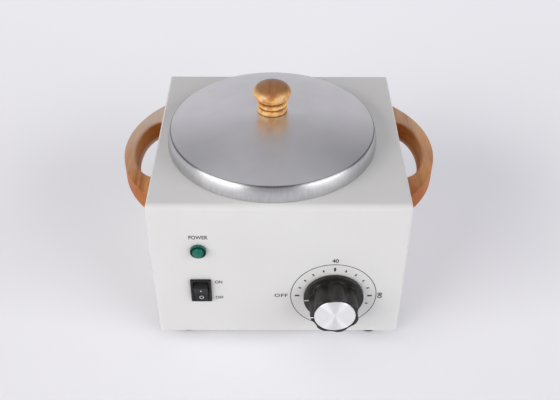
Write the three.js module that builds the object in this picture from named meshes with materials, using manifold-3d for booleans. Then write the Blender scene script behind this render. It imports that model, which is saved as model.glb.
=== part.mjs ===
// Wax bath with one heated well: a sheet-steel cabinet on rubber feet, a lift-out aluminium pot
// under a loose spun lid, two wooden carrying handles, a rocker switch, a pilot lamp and a
// thermostat knob on the front, and a detachable-lead inlet at the back.
// Millimetres. +Z is up, the front faces -Y, and the origin is under the middle of the whole object.

import * as THREE from 'three';
import { mergeVertices } from 'three/addons/utils/BufferGeometryUtils.js';
import Module from 'manifold-3d';

const wasm = await Module();
wasm.setup();

// ---------------------------------------------------------------- driving dimensions

const GAP = 0.3;                 // left between pieces that touch

const CABINET_W = 180;
const CABINET_D = 172;
const CABINET_H = 122;
const SHEET = 1.2;
const BEND = 2.5;                // bend radius along the top edges
const CORNER = 3.2;              // radius of the upright corners
const FOOT_H = 8;
const FOOT_R = 8;
const FOOT_X = 69.5;
const FOOT_Y = 71.8;
const FOOT_FORWARD = 0.9;        // the front right foot sits this much nearer the front
const PANEL_Z = FOOT_H + CABINET_H;
const LIP_W = 12;                // folded lip that the base plate screws into
const BASE_SCREW_Y = 50;

const WELL_Y = -4;               // the well and the pot, measured from the cabinet's middle
const WELL_R = 61.5;
const WELL_FLANGE_R = 66;
const WELL_BOTTOM_Z = 67.3;
const POT_R = 58.3;
const POT_RIM_R = 64;
const METAL = 1.2;               // wall of the well, the pot and the lid

const LID_X = -5;                // the lid lies loose, a little off the well's centre
const LID_Y = -5.7;
const LID_R = 76.8;              // at the lower edge
const LID_PLATE_R = 74.1;        // where the top ends, at a crisp shoulder
const LID_H = 12.5;              // from the panel to the plate's edge
const LID_DOME = 12.3;
const SKIRT_BOW_R = 20;          // the lid's skirt bows outwards between these two slopes
const SKIRT_BOW = [27, 2];

const KNOB_BASE_R = 11;
const KNOB_HEAD_R = 13.65;
const KNOB_H = 21.9;
const KNOB_HEAD_H = 14.4;        // height of the widest part of the head

const HANDLE_ARC_R = 85;
const HANDLE_ARC_IN = 58.5;      // the arc's centre lies this far inside the wall
const HANDLE_T = 14.5;
const HANDLE_TOP = 15;           // below the panel
const HANDLE_Y = 3;
const GRIP_DEPTH = 18;
const GRIP_HALF = 36;
const HANDLE_SCREW_Y = 45;

const DIAL_X = 39.9;
const DIAL_Z = 45.7;
const SKIRT_R = 21.85;
const SKIRT_T = 2.9;
const LOBE_R = 17.7;
const LOBES = 7;
const CAP_R = 14.8;
const KNOB_PROUD = 20.5;
const POINTER_REST = 5;          // degrees that the pointer rests below OFF
const SHAFT_R = 3;

const SWITCH_X = -56.2;
const SWITCH_Z = 52;
const BEZEL_W = 15;
const BEZEL_H = 21;
const BEZEL_T = 2;
const ROCK_ANGLE = 12;           // degrees each way from the middle
const ROCKER_VALLEY = 6.4;       // from the rocker's pivot out to its middle

const LAMP_X = -56.1;
const LAMP_Z = 90.4;
const LAMP_R = 5.7;
const LAMP_BARREL_R = 4.8;
const LAMP_PROUD = 5;

const INLET_X = -48;
const INLET_Z = 42;
const INLET_T = 2.5;
const INLET_PROUD = GAP + INLET_T;

const FRONT = -CABINET_D / 2;
const BACK = CABINET_D / 2;
const SIDE = CABINET_W / 2;
const HANDLE_MID_Z = PANEL_Z - HANDLE_TOP - HANDLE_T / 2;

// ---------------------------------------------------------------- materials

const surface = (color, roughness, metalness = 0) =>
    new THREE.MeshStandardMaterial({ color, roughness, metalness });

const whitePaint = surface(0xdedddc, 0.45);
const aluminium = surface(0xb9babd, 0.35, 1);
const steel = surface(0x9da0a4, 0.35, 1);
const wood = surface(0xc98445, 0.4);
const blackPlastic = surface(0x17181a, 0.35);
const whitePlastic = surface(0xe8e6df, 0.5);
const rubber = surface(0x1c1c1e, 0.8);
const brass = surface(0xb99a4e, 0.35, 1);
const copper = surface(0xb5714a, 0.35, 1);
const greenJewel = surface(0x0d7a55, 0.15);
const ceramic = surface(0xe6e1d4, 0.6);
const mica = surface(0x9a9186, 0.5, 0.6);
const brownWire = surface(0x6b3d1e, 0.5);
const blueWire = surface(0x2a5db0, 0.5);
const earthWire = surface(0x6f9a2d, 0.5);

// ---------------------------------------------------------------- shaping tools

// A closed mesh as a solid, with its faces turned outwards.
function solid(geometry) {
    const bare = geometry.clone();
    bare.deleteAttribute('normal');
    bare.deleteAttribute('uv');
    const merged = mergeVertices(bare, 1e-4);
    const points = merged.getAttribute('position').array;
    const index = merged.getIndex().array;
    const corner = i => new THREE.Vector3().fromArray(points, 3 * i);
    const faces = [];
    let volume = 0;
    for (let t = 0; t < index.length; t += 3) {
        const [a, b, c] = [index[t], index[t + 1], index[t + 2]];
        if (a === b || b === c || c === a) continue;
        faces.push([a, b, c]);
        volume += corner(a).dot(corner(b).cross(corner(c)));
    }
    const outward = volume > 0 ? faces : faces.map(([a, b, c]) => [a, c, b]);
    return new wasm.Manifold(new wasm.Mesh({
        numProp: 3,
        vertProperties: new Float32Array(points),
        triVerts: new Uint32Array(outward.flat()),
    }));
}

// Joins and cuts take solids or geometries.
const asSolid = shape => (shape.isBufferGeometry ? solid(shape) : shape);
const join = (...shapes) => shapes.map(asSolid).reduce((a, b) => a.add(b));
const cut = (shape, ...tools) => tools.map(asSolid).reduce((a, b) => a.subtract(b), asSolid(shape));

function piece(name, shape, material) {
    const made = asSolid(shape).getMesh();
    const geometry = new THREE.BufferGeometry();
    geometry.setAttribute('position', new THREE.BufferAttribute(made.vertProperties, 3));
    geometry.setIndex(new THREE.BufferAttribute(made.triVerts, 1));
    geometry.computeVertexNormals();
    const mesh = new THREE.Mesh(geometry, material);
    mesh.name = name;
    return mesh;
}

function at(object, x, y, z) {
    object.position.set(x, y, z);
    return object;
}

// A box given by its limits along each axis.
function block([x0, x1], [y0, y1], [z0, z1]) {
    const box = new THREE.BoxGeometry(x1 - x0, y1 - y0, z1 - z0);
    return box.translate((x0 + x1) / 2, (y0 + y1) / 2, (z0 + z1) / 2);
}

// A round bar between two heights on the Z axis, and the same lying along Y or X.
function barZ(radius, z0, z1, sides = 12) {
    const bar = new THREE.CylinderGeometry(radius, radius, z1 - z0, sides);
    return bar.rotateX(Math.PI / 2).translate(0, 0, (z0 + z1) / 2);
}

function barY(radius, y0, y1, sides = 12) {
    const bar = new THREE.CylinderGeometry(radius, radius, y1 - y0, sides);
    return bar.translate(0, (y0 + y1) / 2, 0);
}

function barX(radius, x0, x1, sides = 12) {
    const bar = new THREE.CylinderGeometry(radius, radius, x1 - x0, sides);
    return bar.rotateZ(Math.PI / 2).translate((x0 + x1) / 2, 0, 0);
}

// A profile of [radius, height] points turned about the Z axis.
function turned(profile, sides = 12) {
    const points = profile.map(([r, h]) => new THREE.Vector2(r, h));
    points.push(points[0].clone());
    return new THREE.LatheGeometry(points, sides).rotateX(Math.PI / 2);
}

// A flat outline in X and Y, given thickness upwards from z.
function slab(shape, z, thickness, curveSegments = 6) {
    const options = { depth: thickness, bevelEnabled: false, curveSegments };
    return new THREE.ExtrudeGeometry(shape, options).translate(0, 0, z);
}

function roundedRectangle(w, d, r) {
    const shape = new THREE.Shape();
    shape.moveTo(-w / 2 + r, -d / 2);
    shape.lineTo(w / 2 - r, -d / 2);
    shape.absarc(w / 2 - r, -d / 2 + r, r, -Math.PI / 2, 0);
    shape.absarc(w / 2 - r, d / 2 - r, r, 0, Math.PI / 2);
    shape.absarc(-w / 2 + r, d / 2 - r, r, Math.PI / 2, Math.PI);
    shape.absarc(-w / 2 + r, -d / 2 + r, r, Math.PI, 1.5 * Math.PI);
    return shape;
}

function circleHole(x, y, r) {
    const hole = new THREE.Path();
    hole.absarc(x, y, r, 0, 2 * Math.PI, true);
    return hole;
}

// A pan-head screw standing on the Z axis: its head lies below z = 0 and its shank above.
function screw(shankR, length, headR, headH) {
    const headEdge = headH * 0.35;
    const profile = [
        [0, -headH], [headR * 0.7, -headH], [headR, -headH + headEdge], [headR, 0],
        [shankR, 0], [shankR, length], [0, length],
    ];
    return turned(profile, 8);
}

// A wire or thin tube along a smooth curve through the points given.
function wire(name, radius, material, ...route) {
    const curve = new THREE.CatmullRomCurve3(route.map(p => new THREE.Vector3(...p)), false, 'centripetal');
    const section = new THREE.Shape();
    section.absarc(0, 0, radius, 0, 2 * Math.PI);
    const steps = 4 * (route.length - 1);
    const options = { extrudePath: curve, steps, curveSegments: 3, bevelEnabled: false };
    return piece(name, new THREE.ExtrudeGeometry(section, options), material);
}

const group = new THREE.Group();
const cabinet = new THREE.Group();
cabinet.position.y = (KNOB_PROUD - INLET_PROUD) / 2;
group.add(cabinet);

// ---------------------------------------------------------------- cabinet

// A box with bent top edges, from a height below its open bottom up to zTop.
function bentBox(w, d, corner, bend, zTop, zBottom) {
    const geometry = new THREE.ExtrudeGeometry(roundedRectangle(w, d, corner), {
        depth: zTop - zBottom - bend,
        bevelThickness: bend,
        bevelSize: bend,
        bevelOffset: -bend,
        bevelSegments: 2,
        curveSegments: 2,
    });
    return geometry.translate(0, 0, zBottom);
}

function housingShell() {
    const below = block([-SIDE - 5, SIDE + 5], [FRONT - 5, BACK + 5], [-20, FOOT_H]);
    const outside = cut(bentBox(CABINET_W, CABINET_D, CORNER, BEND, PANEL_Z, FOOT_H), below);
    const inner = bentBox(CABINET_W - 2 * SHEET, CABINET_D - 2 * SHEET, CORNER - SHEET, BEND - SHEET,
        PANEL_Z - SHEET, FOOT_H - 5);
    const shell = cut(outside, inner);
    const lipZ = [FOOT_H + SHEET + GAP, FOOT_H + 2 * SHEET + GAP];
    const lips = [-1, 1].map(s => {
        const outer = s * (SIDE - SHEET / 2);
        const inward = s * (SIDE - SHEET - LIP_W);
        const lip = block([Math.min(outer, inward), Math.max(outer, inward)], [-70, 70], lipZ);
        const holes = [-1, 1].map(t => barZ(1.9, 0, 20, 8)
            .translate(s * (SIDE - SHEET - LIP_W / 2), t * BASE_SCREW_Y, 0));
        return cut(lip, ...holes);
    });
    const wellHole = barZ(WELL_R + GAP, PANEL_Z - 10, PANEL_Z + 10, 40).translate(0, WELL_Y, 0);
    const bushHole = barY(5.1, FRONT - 5, FRONT + 5).translate(DIAL_X, 0, DIAL_Z);
    const dialScrewHoles = [-1, 1].map(s => barY(2.1, FRONT - 5, FRONT + 5, 8)
        .translate(DIAL_X + s * 14, 0, DIAL_Z));
    const switchHole = block([SWITCH_X - 6.7, SWITCH_X + 6.7], [FRONT - 5, FRONT + 5],
        [SWITCH_Z - 9.8, SWITCH_Z + 9.8]);
    const lampHole = barY(5.1, FRONT - 5, FRONT + 5).translate(LAMP_X, 0, LAMP_Z);
    const inletHole = block([INLET_X - 14.1, INLET_X + 14.1], [BACK - 5, BACK + 5],
        [INLET_Z - 10.2, INLET_Z + 10.2]);
    const inletScrewHoles = [-1, 1].map(s => barY(1.8, BACK - 5, BACK + 5, 8)
        .translate(INLET_X + s * 20, 0, INLET_Z));
    const handleHoles = [-1, 1].map(t => barX(2.05, -SIDE - 5, SIDE + 5, 8)
        .translate(0, HANDLE_Y + t * HANDLE_SCREW_Y, HANDLE_MID_Z));
    return cut(join(shell, ...lips), wellHole, bushHole, ...dialScrewHoles, switchHole, lampHole,
        inletHole, ...inletScrewHoles, ...handleHoles);
}

cabinet.add(piece('housing_shell', housingShell(), whitePaint));

const corners = { front_left: [-1, -1], front_right: [1, -1], back_left: [-1, 1], back_right: [1, 1] };

function footPlace([sx, sy]) {
    const forward = sx > 0 && sy < 0 ? FOOT_FORWARD : 0;
    return [sx * FOOT_X, sy * (FOOT_Y + forward)];
}

function basePlate() {
    const plateW = CABINET_W - 2 * SHEET - 2 * GAP;
    const plateD = CABINET_D - 2 * SHEET - 2 * GAP;
    const outline = roundedRectangle(plateW, plateD, CORNER - SHEET);
    for (const corner of Object.values(corners)) {
        const [sx, sy] = corner;
        outline.holes.push(circleHole(...footPlace(corner), 2.3));
        outline.holes.push(circleHole(sx * (SIDE - SHEET - LIP_W / 2), sy * BASE_SCREW_Y, 1.9));
    }
    const slots = 4;
    for (const side of [-1, 1]) {
        for (let i = 0; i < slots; i++) {
            const y = (i - (slots - 1) / 2) * 16;
            const slot = new THREE.Path();
            slot.absarc(side * 44, y, 2.5, -Math.PI / 2, Math.PI / 2);
            slot.absarc(side * 44 - 28, y, 2.5, Math.PI / 2, 1.5 * Math.PI);
            outline.holes.push(slot);
        }
    }
    return slab(outline, FOOT_H, SHEET, 3);
}

cabinet.add(piece('base_plate', basePlate(), whitePaint));

function foot() {
    const bore = 2.3;
    const recess = 4.2;
    return turned([
        [recess, 0], [FOOT_R - 0.9, 0], [FOOT_R - 0.5, 0.4], [FOOT_R, FOOT_H - GAP],
        [bore, FOOT_H - GAP], [bore, 4], [recess, 4],
    ], 16);
}

for (const [place, corner] of Object.entries(corners)) {
    const [sx, sy] = corner;
    const [footX, footY] = footPlace(corner);
    cabinet.add(at(piece(`foot_${place}`, foot(), rubber), footX, footY, 0));
    cabinet.add(at(piece(`foot_screw_${place}`, screw(2, 10, 3.6, 1.9), steel), footX, footY, 4 - GAP));
    cabinet.add(at(piece(`base_screw_${place}`, screw(1.6, 6, 3.2, 1.8), steel),
        sx * (SIDE - SHEET - LIP_W / 2), sy * BASE_SCREW_Y, FOOT_H - GAP));
}

// ---------------------------------------------------------------- wooden handles

// A flat bow: an arc outside, a half-ellipse finger hole inside, flat feet against the wall.
function handle() {
    const tipAngle = Math.acos(HANDLE_ARC_IN / HANDLE_ARC_R);
    const round = 2.5;
    const shape = new THREE.Shape();
    shape.absarc(-HANDLE_ARC_IN, 0, HANDLE_ARC_R, -tipAngle, tipAngle);
    shape.absellipse(0, 0, GRIP_DEPTH, GRIP_HALF, Math.PI / 2, -Math.PI / 2, true);
    const bow = new THREE.ExtrudeGeometry(shape, {
        depth: HANDLE_T - 2 * round,
        bevelThickness: round,
        bevelSize: round,
        bevelOffset: -round,
        bevelSegments: 2,
        curveSegments: 10,
    });
    bow.translate(0, 0, round - HANDLE_T / 2);
    const screwHoles = [-1, 1].map(t => barX(2.05, -5, 8.5, 8).translate(0, t * HANDLE_SCREW_Y, 0));
    return cut(bow, ...screwHoles);
}

for (const [side, s] of [['left', -1], ['right', 1]]) {
    const mounted = new THREE.Group();
    mounted.position.set(s * (SIDE + GAP), HANDLE_Y, HANDLE_MID_Z);
    mounted.rotation.z = s > 0 ? 0 : Math.PI;
    mounted.add(piece(`handle_${side}`, handle(), wood));
    for (const [end, t] of [['front', -s], ['back', s]]) {
        const fixing = piece(`handle_screw_${side}_${end}`, screw(1.75, 9, 3.3, 2), steel);
        fixing.rotation.y = Math.PI / 2;
        mounted.add(at(fixing, -SHEET - 2 * GAP, t * HANDLE_SCREW_Y, 0));
    }
    cabinet.add(mounted);
}

// ---------------------------------------------------------------- heated well and pot

const wellGroup = new THREE.Group();
wellGroup.position.y = WELL_Y;
cabinet.add(wellGroup);

wellGroup.add(piece('heating_well', turned([
    [0, WELL_BOTTOM_Z], [WELL_R - 3, WELL_BOTTOM_Z], [WELL_R, WELL_BOTTOM_Z + 3],
    [WELL_R, PANEL_Z + GAP], [WELL_FLANGE_R, PANEL_Z + GAP], [WELL_FLANGE_R, PANEL_Z + GAP + METAL],
    [WELL_R - METAL, PANEL_Z + GAP + METAL], [WELL_R - METAL, WELL_BOTTOM_Z + METAL + 2.5],
    [WELL_R - METAL - 2.5, WELL_BOTTOM_Z + METAL], [0, WELL_BOTTOM_Z + METAL],
], 40), aluminium));

const potFloor = WELL_BOTTOM_Z + METAL + GAP;
const potRimZ = PANEL_Z + 2 * GAP + METAL;
wellGroup.add(piece('pot', turned([
    [0, potFloor], [POT_R - 6, potFloor], [POT_R - 1.8, potFloor + 1.8], [POT_R, potFloor + 6],
    [POT_R, potRimZ], [POT_RIM_R, potRimZ], [POT_RIM_R, potRimZ + METAL],
    [POT_R - METAL, potRimZ + METAL], [POT_R - METAL, potFloor + 6.5],
    [POT_R - METAL - 1.6, potFloor + METAL + 1.6], [POT_R - METAL - 5.3, potFloor + METAL],
    [0, potFloor + METAL],
], 40), aluminium));

// ---------------------------------------------------------------- heater and its safety parts

const bandZ = [78, 108];
const bandR = [WELL_R + GAP, WELL_R + GAP + 2.4];
const bandMidZ = (bandZ[0] + bandZ[1]) / 2;

// A clamped band with a slit at the back, two ears for its screw and two terminal studs.
function bandHeater() {
    const ring = turned([
        [bandR[0], bandZ[0]], [bandR[1], bandZ[0]], [bandR[1], bandZ[1]], [bandR[0], bandZ[1]],
    ], 32);
    const slit = block([-4, 4], [bandR[0] - 5, bandR[1] + 5], [bandZ[0] - 1, bandZ[1] + 1]);
    const ears = [-1, 1].map(s => {
        const ear = block([Math.min(s * 4, s * 5.6), Math.max(s * 4, s * 5.6)],
            [bandR[0] + 0.2, bandR[1] + 11], [bandMidZ - 6, bandMidZ + 6]);
        return cut(ear, barX(2.3, -10, 10, 8).translate(0, bandR[1] + 6, bandMidZ));
    });
    const studs = [-1, 1].map(s => barY(2, bandR[0] + 0.6, bandR[1] + 8, 8)
        .translate(0, 0, bandMidZ).rotateZ(s * 0.42));
    return join(cut(ring, slit), ...ears, ...studs);
}

wellGroup.add(piece('band_heater', bandHeater(), mica));
const clampScrew = piece('band_clamp_screw', screw(2, 15, 3.6, 2.2), steel);
clampScrew.rotation.y = Math.PI / 2;
wellGroup.add(at(clampScrew, -5.6 - GAP, bandR[1] + 6, bandMidZ));

const bulbR = 3;
const bulbZ = WELL_BOTTOM_Z - GAP - bulbR;
const BULB_Y = -14;
const BULB_HALF = 28;
wellGroup.add(piece('thermostat_bulb', barX(bulbR, -BULB_HALF, BULB_HALF, 12)
    .translate(0, BULB_Y, bulbZ), copper));

// A strap that hugs the bulb and is welded under the well.
function bulbClip() {
    const strap = 0.8;
    const inside = bulbR + GAP;
    const outside = inside + strap;
    const top = WELL_BOTTOM_Z - GAP;
    const shape = new THREE.Shape();
    shape.moveTo(-outside - 6, top - strap);
    shape.lineTo(-outside, top - strap);
    shape.lineTo(-outside, bulbZ);
    shape.absarc(0, bulbZ, outside, Math.PI, 2 * Math.PI);
    shape.lineTo(outside, top - strap);
    shape.lineTo(outside + 6, top - strap);
    shape.lineTo(outside + 6, top);
    shape.lineTo(inside, top);
    shape.lineTo(inside, bulbZ);
    shape.absarc(0, bulbZ, inside, 0, -Math.PI, true);
    shape.lineTo(-inside, top);
    shape.lineTo(-outside - 6, top);
    const strip = new THREE.ExtrudeGeometry(shape, { depth: 10, bevelEnabled: false, curveSegments: 8 });
    return strip.rotateX(Math.PI / 2).rotateZ(Math.PI / 2).translate(-5, BULB_Y, 0);
}

wellGroup.add(piece('bulb_clip', bulbClip(), steel));

const CUTOUT = [-22, 18];
function thermalCutout() {
    const top = WELL_BOTTOM_Z - GAP;
    const can = turned([
        [0, top - 11], [7, top - 11], [7.5, top - 10.5], [7.5, top - 4],
        [8.6, top - 4], [8.6, top], [0, top],
    ], 16);
    const tabs = [-1, 1].map(s => block([s * 4 - 2.4, s * 4 + 2.4], [-0.4, 0.4], [top - 19, top - 10]));
    return join(can, ...tabs);
}
wellGroup.add(at(piece('thermal_cutout', thermalCutout(), blackPlastic), CUTOUT[0], CUTOUT[1], 0));

// ---------------------------------------------------------------- thermostat and its knob

const dial = new THREE.Group();
dial.position.set(DIAL_X, FRONT, DIAL_Z);
cabinet.add(dial);

function thermostatBody() {
    const can = block([-17, 17], [SHEET + GAP, 23], [-20, 20]);
    const bush = barY(4.8, -0.2, SHEET + 1);
    const bore = barY(SHAFT_R + GAP, -5, 12);
    const screwBores = [-1, 1].map(s => barY(2.1, 0, 8, 8).translate(s * 14, 0, 0));
    const tabs = [-1, 1].map(s => block([s * 8 - 2.4, s * 8 + 2.4], [22, 29], [-14.4, -13.6]));
    return join(cut(join(can, bush), bore, ...screwBores), ...tabs);
}
dial.add(piece('thermostat_body', thermostatBody(), steel));

for (const [side, s] of [['left', -1], ['right', 1]]) {
    const fixing = piece(`thermostat_screw_${side}`, screw(1.75, 7, 3, 1.5), steel);
    fixing.rotation.x = -Math.PI / 2;
    dial.add(at(fixing, s * 14, -GAP, 0));
}

dial.add(piece('thermostat_shaft', barY(SHAFT_R, -14, 10, 16), steel));

// The knob: a thin skirt, hollow behind over the screw heads, and a scalloped grip.
function thermostatKnob() {
    const backY = -0.6;
    const skirt = turned([
        [0, 0], [SKIRT_R - 0.4, 0], [SKIRT_R, 0.4], [SKIRT_R, SKIRT_T - 1],
        [SKIRT_R - 1, SKIRT_T], [0, SKIRT_T],
    ], 32);
    const hollow = turned([[7, -1], [19.8, -1], [19.8, SKIRT_T - 0.8], [7, SKIRT_T - 0.8]], 24);
    const grip = new THREE.Shape();
    const lobeStep = 2 * Math.PI / LOBES;
    const scallop = 1.8;
    const valleySharpness = 2.2;
    const points = 6 * LOBES;
    for (let i = 0; i < points; i++) {
        const angle = i * 2 * Math.PI / points;
        const wave = 0.5 - 0.5 * Math.cos(2 * Math.PI * angle / lobeStep);
        const depth = scallop * wave ** valleySharpness;
        const r = LOBE_R - depth;
        const turn = angle + Math.PI + THREE.MathUtils.degToRad(POINTER_REST);
        const [x, y] = [r * Math.cos(turn), r * Math.sin(turn)];
        if (i === 0) grip.moveTo(x, y);
        else grip.lineTo(x, y);
    }
    const round = 1;
    const gripFoot = SKIRT_T - 0.5 + round;
    const gripBody = new THREE.ExtrudeGeometry(grip, {
        depth: KNOB_PROUD + backY - round - gripFoot,
        bevelThickness: round,
        bevelSize: round,
        bevelOffset: -round,
        bevelSegments: 1,
    }).translate(0, 0, gripFoot);
    const bore = barZ(SHAFT_R + GAP, -5, 14.2);
    const capSeat = barZ(CAP_R + GAP, KNOB_PROUD + backY - 1.2, KNOB_PROUD + 5, 24);
    const knob = cut(join(cut(skirt, hollow), gripBody), bore, capSeat);
    return knob.rotate([90, 0, 0]).translate([0, backY, 0]);
}
dial.add(piece('thermostat_knob', thermostatKnob(), blackPlastic));

const capFace = turned([
    [0, -0.9], [CAP_R, -0.9], [CAP_R, -0.4], [CAP_R - 0.4, 0], [0, 0],
], 24);
const cap = piece('knob_cap', capFace, aluminium);
cap.rotation.x = Math.PI / 2;
dial.add(at(cap, 0, -KNOB_PROUD, 0));

// ---------------------------------------------------------------- rocker switch

const rockerSwitch = new THREE.Group();
rockerSwitch.position.set(SWITCH_X, FRONT, SWITCH_Z);
cabinet.add(rockerSwitch);
const PIVOT_Y = 4;

function switchHousing() {
    const bezel = block([-BEZEL_W / 2, BEZEL_W / 2], [-BEZEL_T - GAP, -GAP], [-BEZEL_H / 2, BEZEL_H / 2]);
    const body = block([-6.4, 6.4], [-GAP - 0.5, 15], [-9.5, 9.5]);
    const cavity = block([-5.3, 5.3], [-10, 10], [-9, 9]);
    const tabs = [-1, 1].map(s => block([-2.4, 2.4], [14, 22], [s * 5 - 0.4, s * 5 + 0.4]));
    return join(cut(join(bezel, body), cavity), ...tabs);
}
rockerSwitch.add(piece('switch_housing', switchHousing(), blackPlastic));

// The rocker's side view, shallow V in front, round behind; it rests with its lower half pressed.
function rocker() {
    const half = 7.6;
    const tilt = THREE.MathUtils.degToRad(ROCK_ANGLE);
    const tip = [-ROCKER_VALLEY - half * Math.sin(tilt), half * Math.cos(tilt)];
    const side = new THREE.Shape();
    side.moveTo(-ROCKER_VALLEY, 0);
    side.lineTo(tip[0], tip[1]);
    side.lineTo(-2, 8.2);
    side.absarc(0, 0, 4.5, Math.PI / 2, -Math.PI / 2, true);
    side.lineTo(-2, -8.2);
    side.lineTo(tip[0], -tip[1]);
    const bar = new THREE.ExtrudeGeometry(side, { depth: 10, bevelEnabled: false, curveSegments: 8 });
    return bar.rotateX(Math.PI / 2).rotateZ(Math.PI / 2).translate(-5, 0, 0);
}
const paddle = piece('switch_rocker', rocker(), blackPlastic);
paddle.rotation.x = THREE.MathUtils.degToRad(ROCK_ANGLE);
rockerSwitch.add(at(paddle, 0, PIVOT_Y, 0));

// ---------------------------------------------------------------- pilot lamp

const lamp = new THREE.Group();
lamp.position.set(LAMP_X, FRONT, LAMP_Z);
lamp.rotation.x = Math.PI / 2;
cabinet.add(lamp);

// The lamp's own height runs outwards through the panel.
lamp.add(piece('pilot_lamp_body', turned([
    [0, -20], [3.6, -20], [LAMP_BARREL_R, -18], [LAMP_BARREL_R, 0], [0, 0],
], 16), blackPlastic));
lamp.add(piece('pilot_lamp_lens', turned([
    [0, GAP], [LAMP_R, GAP], [LAMP_R, 1.2], [LAMP_R - 0.5, 1.7], [LAMP_R - 1.2, 1.7],
    [LAMP_R - 1.3, 2.6], [LAMP_R - 2.2, 3.8], [LAMP_R - 3.8, 4.6], [0, LAMP_PROUD],
], 16), greenJewel));
lamp.add(piece('pilot_lamp_nut', cut(
    new THREE.CylinderGeometry(7.5, 7.5, 2.5, 6).rotateX(Math.PI / 2).translate(0, 0, -SHEET - GAP - 1.25),
    barZ(5.1, -10, 0)), blackPlastic));

// ---------------------------------------------------------------- mains inlet

const inlet = new THREE.Group();
inlet.position.set(INLET_X, BACK, INLET_Z);
cabinet.add(inlet);
const PIN_PITCH = 7;
const pinPlaces = { live: [PIN_PITCH, -1.5], neutral: [-PIN_PITCH, -1.5], earth: [0, 2.5] };
const outFace = GAP + INLET_T;

function inletSocket() {
    const flange = slab(roundedRectangle(48, 22.5, 4), 0, INLET_T, 3)
        .rotateX(-Math.PI / 2).translate(0, GAP, 0);
    const body = block([-13.8, 13.8], [-16, GAP + 0.5], [-9.9, 9.9]);
    const cavity = block([-12, 12], [-13, 10], [-8, 8]);
    const slots = Object.values(pinPlaces).map(([x, z]) =>
        block([x - 1.3, x + 1.3], [-20, -10], [z - 2.3, z + 2.3]));
    const sinks = [-1, 1].map(s => join(barY(3, outFace - 1.8, 10), barY(1.8, -5, 10))
        .translate([s * 20, 0, 0]));
    return cut(join(flange, body), cavity, ...slots, ...sinks);
}
inlet.add(piece('inlet_socket', inletSocket(), blackPlastic));

for (const [pole, [x, z]] of Object.entries(pinPlaces)) {
    inlet.add(at(piece(`inlet_pin_${pole}`, block([-1, 1], [-23, -3.5], [-2, 2]), brass), x, 0, z));
}
for (const [side, s] of [['left', -1], ['right', 1]]) {
    const fixing = piece(`inlet_screw_${side}`, screw(1.5, 7, 2.7, 1.4), steel);
    fixing.rotation.x = Math.PI / 2;
    inlet.add(at(fixing, s * 20, outFace - 1.8 + GAP, 0));
}

// ---------------------------------------------------------------- wiring inside

const BLOCK = [40, 48];
const blockZ = FOOT_H + SHEET + GAP;
cabinet.add(piece('terminal_block', block([BLOCK[0] - 14, BLOCK[0] + 14], [BLOCK[1] - 8, BLOCK[1] + 8],
    [blockZ, blockZ + 16]), ceramic));
const STUD = [-20, 62];
cabinet.add(at(piece('earth_stud', turned([
    [0, 0], [5, 0], [5, 2], [2, 2], [2, 9], [0, 9],
], 12), brass), STUD[0], STUD[1], blockZ));

const WIRE_R = 1.2;
const switchBack = FRONT + 22 + 1.7;
const pinBack = BACK - 23 - 1.7;
const dialBack = FRONT + 29 + 1.7;
const dialTabZ = DIAL_Z - 14;
cabinet.add(wire('live_wire', WIRE_R, brownWire,
    [INLET_X + PIN_PITCH, pinBack, INLET_Z - 1.5], [-46, 40, 30], [-60, -20, 26], [SWITCH_X, -52, 36],
    [SWITCH_X, switchBack, SWITCH_Z - 5]));
cabinet.add(wire('neutral_wire', WIRE_R, blueWire,
    [INLET_X - PIN_PITCH, pinBack, INLET_Z - 1.5], [-50, 44, 18], [0, 40, 15], [24.3, BLOCK[1], 18]));
cabinet.add(wire('earth_wire', WIRE_R, earthWire,
    [INLET_X, pinBack, INLET_Z + 2.5], [-36, 52, 44], [STUD[0], STUD[1], blockZ + 9 + 1.6]));
cabinet.add(wire('switch_wire', WIRE_R, brownWire,
    [SWITCH_X, switchBack, SWITCH_Z + 5], [-30, -52, 54], [0, -50, 40], [DIAL_X - 8, dialBack, dialTabZ]));
cabinet.add(wire('lamp_wire', WIRE_R, brownWire,
    [LAMP_X, FRONT + 20 + 1.7, LAMP_Z], [LAMP_X - 4, -50, 82], [LAMP_X - 6, -54, 64],
    [SWITCH_X - 4.5, switchBack, SWITCH_Z + 5]));
cabinet.add(wire('thermostat_wire', WIRE_R, brownWire,
    [DIAL_X + 8, dialBack, dialTabZ], [30, -20, 28], [0, 0, 34],
    [CUTOUT[0] + 4, WELL_Y + CUTOUT[1], WELL_BOTTOM_Z - GAP - 19 - 1.7]));
cabinet.add(wire('cutout_wire', WIRE_R, brownWire,
    [CUTOUT[0] - 4, WELL_Y + CUTOUT[1], WELL_BOTTOM_Z - GAP - 19 - 1.7], [-16, 32, 32],
    [20, 60, 24], [BLOCK[0] - 6, BLOCK[1] + 9.6, 20]));

function studTip(sign) {
    const reach = bandR[1] + 8 + 1.7;
    return [-sign * reach * Math.sin(0.42), WELL_Y + reach * Math.cos(0.42), bandMidZ];
}
cabinet.add(wire('heater_wire_right', WIRE_R, brownWire,
    studTip(-1), [44, 74, 70], [BLOCK[0] + 6, 68, 36], [BLOCK[0] + 6, BLOCK[1] + 9.6, 20]));
cabinet.add(wire('heater_wire_left', WIRE_R, blueWire,
    studTip(1), [-20, 76, 66], [20, 76, 44], [BLOCK[0] - 0.5, 70, 28],
    [BLOCK[0] + 0.5, BLOCK[1] + 9.6, 15]));
cabinet.add(wire('capillary_tube', 0.8, copper,
    [DIAL_X, FRONT + 23 + 0.6, DIAL_Z + 8], [DIAL_X + 4, -50, 58], [DIAL_X + 2, -26, 63],
    [BULB_HALF + 1.2, WELL_Y + BULB_Y, bulbZ]));

// ---------------------------------------------------------------- lid

const lid = new THREE.Group();
lid.position.set(LID_X, LID_Y, PANEL_Z);
cabinet.add(lid);

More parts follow.
